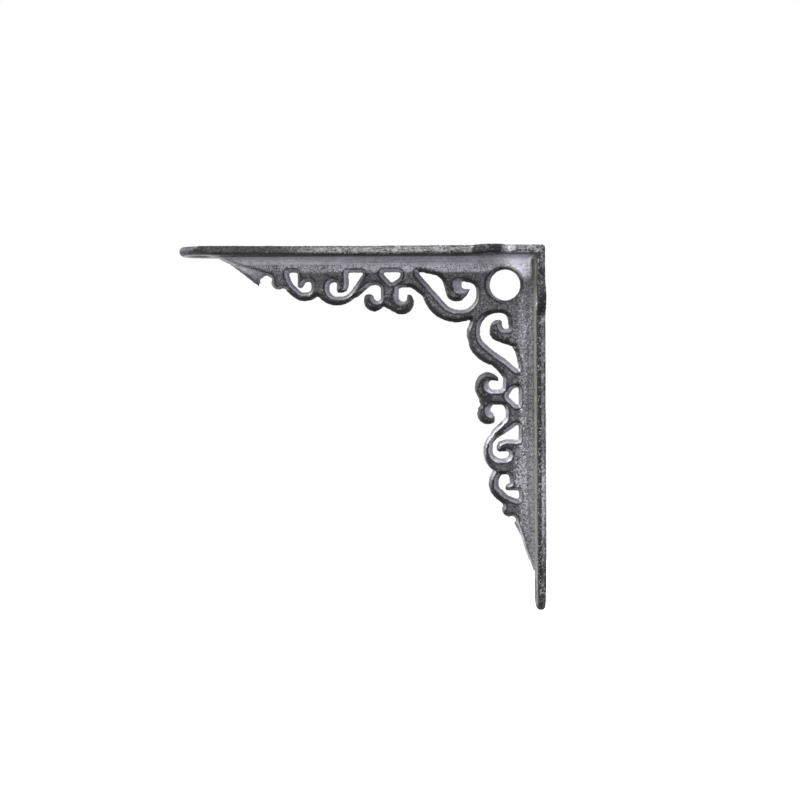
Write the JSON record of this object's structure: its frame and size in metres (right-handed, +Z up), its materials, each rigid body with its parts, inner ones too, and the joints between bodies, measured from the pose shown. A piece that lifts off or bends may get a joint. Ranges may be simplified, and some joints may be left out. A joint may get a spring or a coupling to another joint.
{
  "type": "shelf bracket",
  "caption": "Cast right-angle shelf bracket: two flat screw-on arms with ears near the corner, braced by a pierced scrollwork web.",
  "frame": {"origin": "outer corner of the bracket, where the wall face and the shelf face meet, in the middle of its width", "axes": "+Z is up, out of the shelf face; +X points into the wall, out of the wall face; the shelf arm runs along -X, the wall arm along -Z, and the web lies in the plane y = 0"},
  "size_m": [0.15, 0.0308, 0.15],
  "materials": {
    "iron": "bare sand-cast iron, dark, rough on the web and smoother in the coves"
  },
  "bodies": {
    "root": {"bracket": "iron"}
  },
  "joints": []
}
